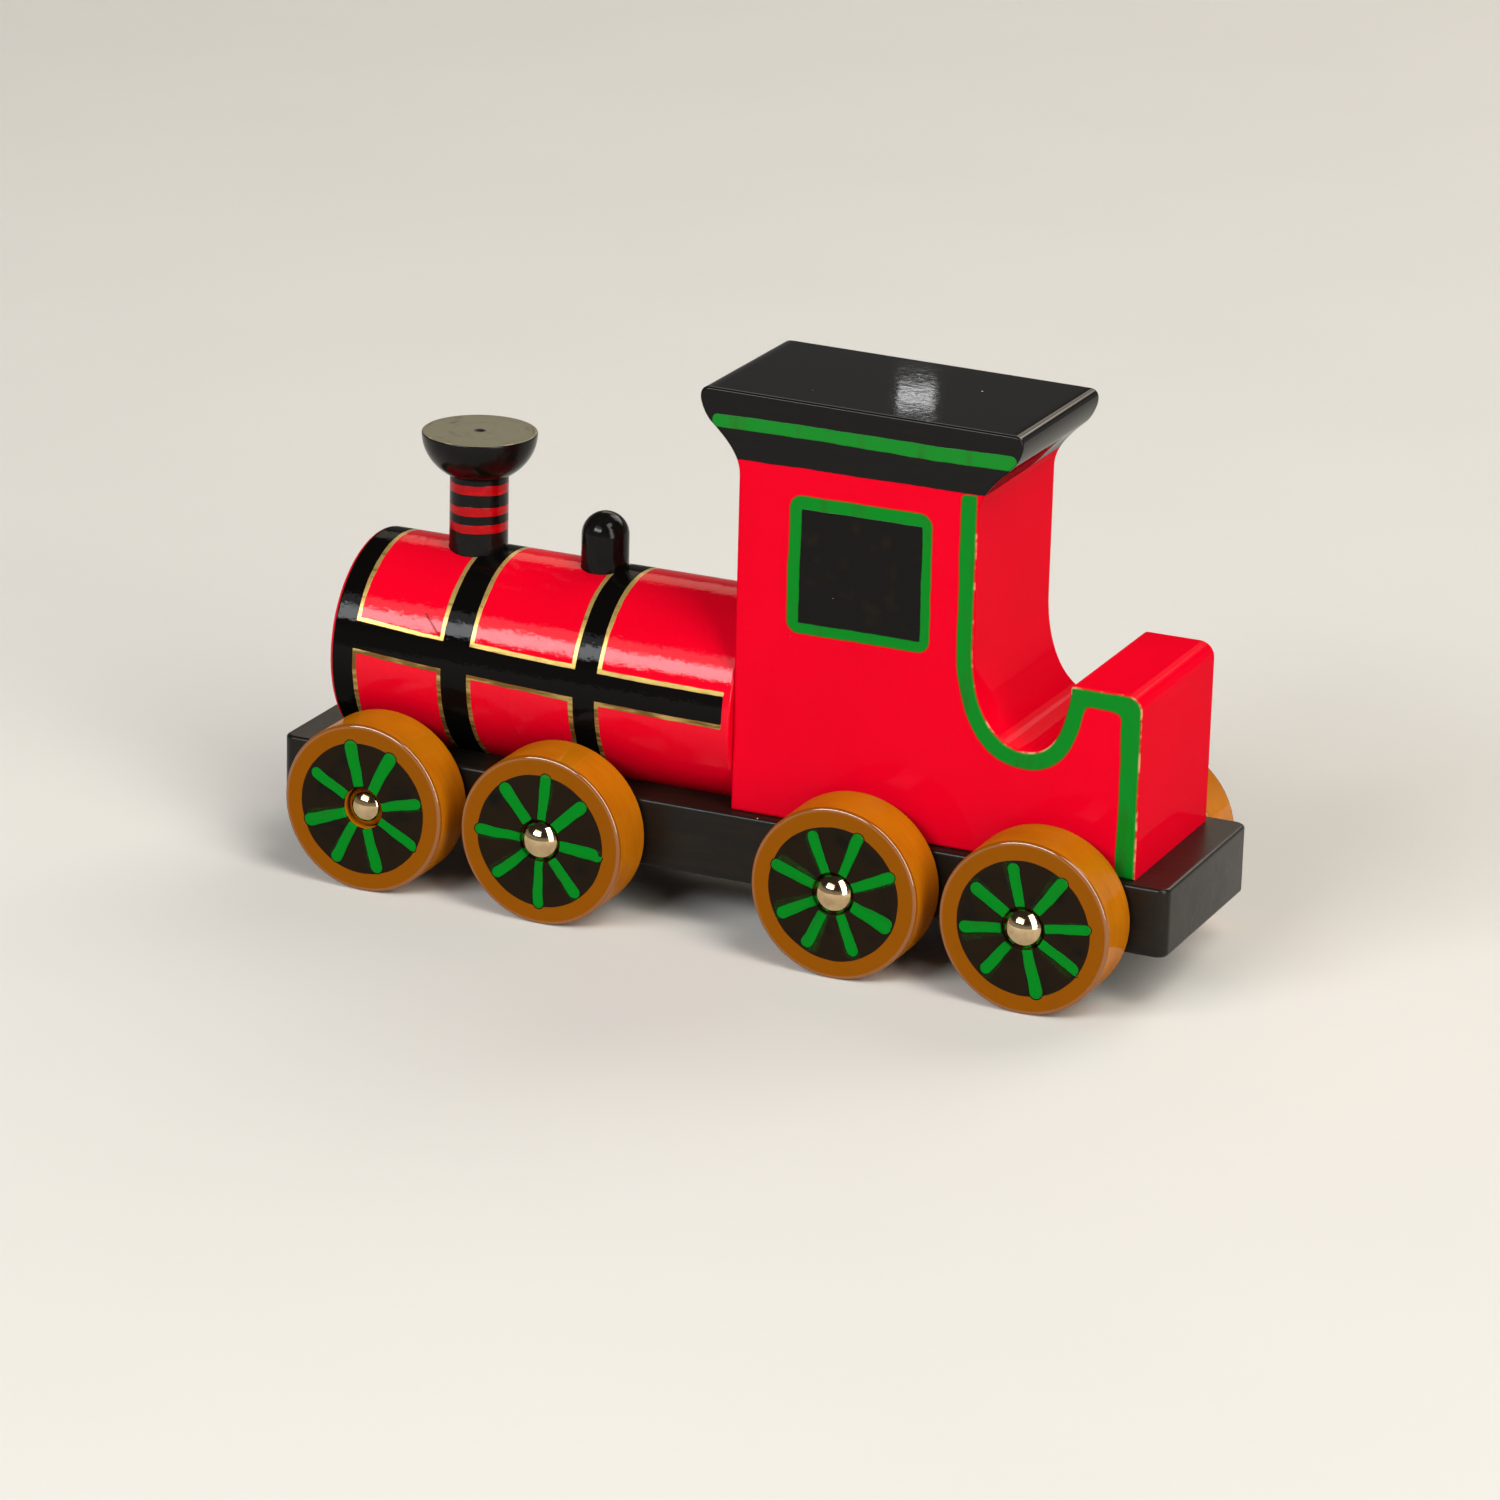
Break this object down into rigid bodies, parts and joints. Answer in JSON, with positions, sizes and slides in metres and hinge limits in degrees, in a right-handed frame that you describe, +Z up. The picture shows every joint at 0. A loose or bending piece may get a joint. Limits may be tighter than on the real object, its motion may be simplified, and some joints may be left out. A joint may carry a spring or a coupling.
{
  "type": "toy train locomotive",
  "caption": "Painted wooden toy steam locomotive with boiler, chimney, steam dome, roofed cab and rear bunker on a flat board chassis that rolls on free-turning disc wheels.",
  "frame": {"origin": "middle of the footprint, on the ground under the wheels", "axes": "+X forwards to the chimney end, +Y to the locomotive's left side, +Z up"},
  "size_m": [0.2466, 0.095, 0.1423],
  "materials": {
    "red_paint": "gloss red paint on wood, with black, gold and green hand-painted lines",
    "black_paint": "gloss black paint on wood",
    "caramel_paint": "gloss caramel paint on wood, with a black disc and green spokes painted on the outer face",
    "nickel": "polished nickel plate",
    "steel": "plain drawn steel"
  },
  "bodies": {
    "locomotive": {"chassis": "black_paint", "boiler": "red_paint", "cab_body": "red_paint", "chimney": "black_paint", "steam_dome": "black_paint", "axle_1": "steel", "axle_2": "steel", "axle_3": "steel", "axle_4": "steel", "axle_cap_1_left": "nickel", "axle_cap_1_right": "nickel", "axle_cap_2_left": "nickel", "axle_cap_2_right": "nickel", "axle_cap_3_left": "nickel", "axle_cap_3_right": "nickel", "axle_cap_4_left": "nickel", "axle_cap_4_right": "nickel", "screw_boiler_front": "steel", "screw_boiler_rear": "steel", "screw_cab_front": "steel", "screw_cab_rear": "steel"},
    "wheel_1_left": {"wheel_1_left": "caramel_paint"},
    "wheel_1_right": {"wheel_1_right": "caramel_paint"},
    "wheel_2_left": {"wheel_2_left": "caramel_paint"},
    "wheel_2_right": {"wheel_2_right": "caramel_paint"},
    "wheel_3_left": {"wheel_3_left": "caramel_paint"},
    "wheel_3_right": {"wheel_3_right": "caramel_paint"},
    "wheel_4_left": {"wheel_4_left": "caramel_paint"},
    "wheel_4_right": {"wheel_4_right": "caramel_paint"}
  },
  "joints": [
    {"name": "wheel_1_left_spin", "type": "hinge", "parent": "locomotive", "child": "wheel_1_left", "pos_m": [0.0913, 0.0369, 0.0225], "axis": [0, 1, 0], "continuous": true},
    {"name": "wheel_1_right_spin", "type": "hinge", "parent": "locomotive", "child": "wheel_1_right", "pos_m": [0.0913, -0.0369, 0.0225], "axis": [0, 1, 0], "continuous": true},
    {"name": "wheel_2_left_spin", "type": "hinge", "parent": "locomotive", "child": "wheel_2_left", "pos_m": [0.0405, 0.0369, 0.0225], "axis": [0, 1, 0], "continuous": true},
    {"name": "wheel_2_right_spin", "type": "hinge", "parent": "locomotive", "child": "wheel_2_right", "pos_m": [0.0405, -0.0369, 0.0225], "axis": [0, 1, 0], "continuous": true},
    {"name": "wheel_3_left_spin", "type": "hinge", "parent": "locomotive", "child": "wheel_3_left", "pos_m": [-0.0409, 0.0369, 0.0225], "axis": [0, 1, 0], "continuous": true},
    {"name": "wheel_3_right_spin", "type": "hinge", "parent": "locomotive", "child": "wheel_3_right", "pos_m": [-0.0409, -0.0369, 0.0225], "axis": [0, 1, 0], "continuous": true},
    {"name": "wheel_4_left_spin", "type": "hinge", "parent": "locomotive", "child": "wheel_4_left", "pos_m": [-0.0919, 0.0369, 0.0225], "axis": [0, 1, 0], "continuous": true},
    {"name": "wheel_4_right_spin", "type": "hinge", "parent": "locomotive", "child": "wheel_4_right", "pos_m": [-0.0919, -0.0369, 0.0225], "axis": [0, 1, 0], "continuous": true}
  ]
}
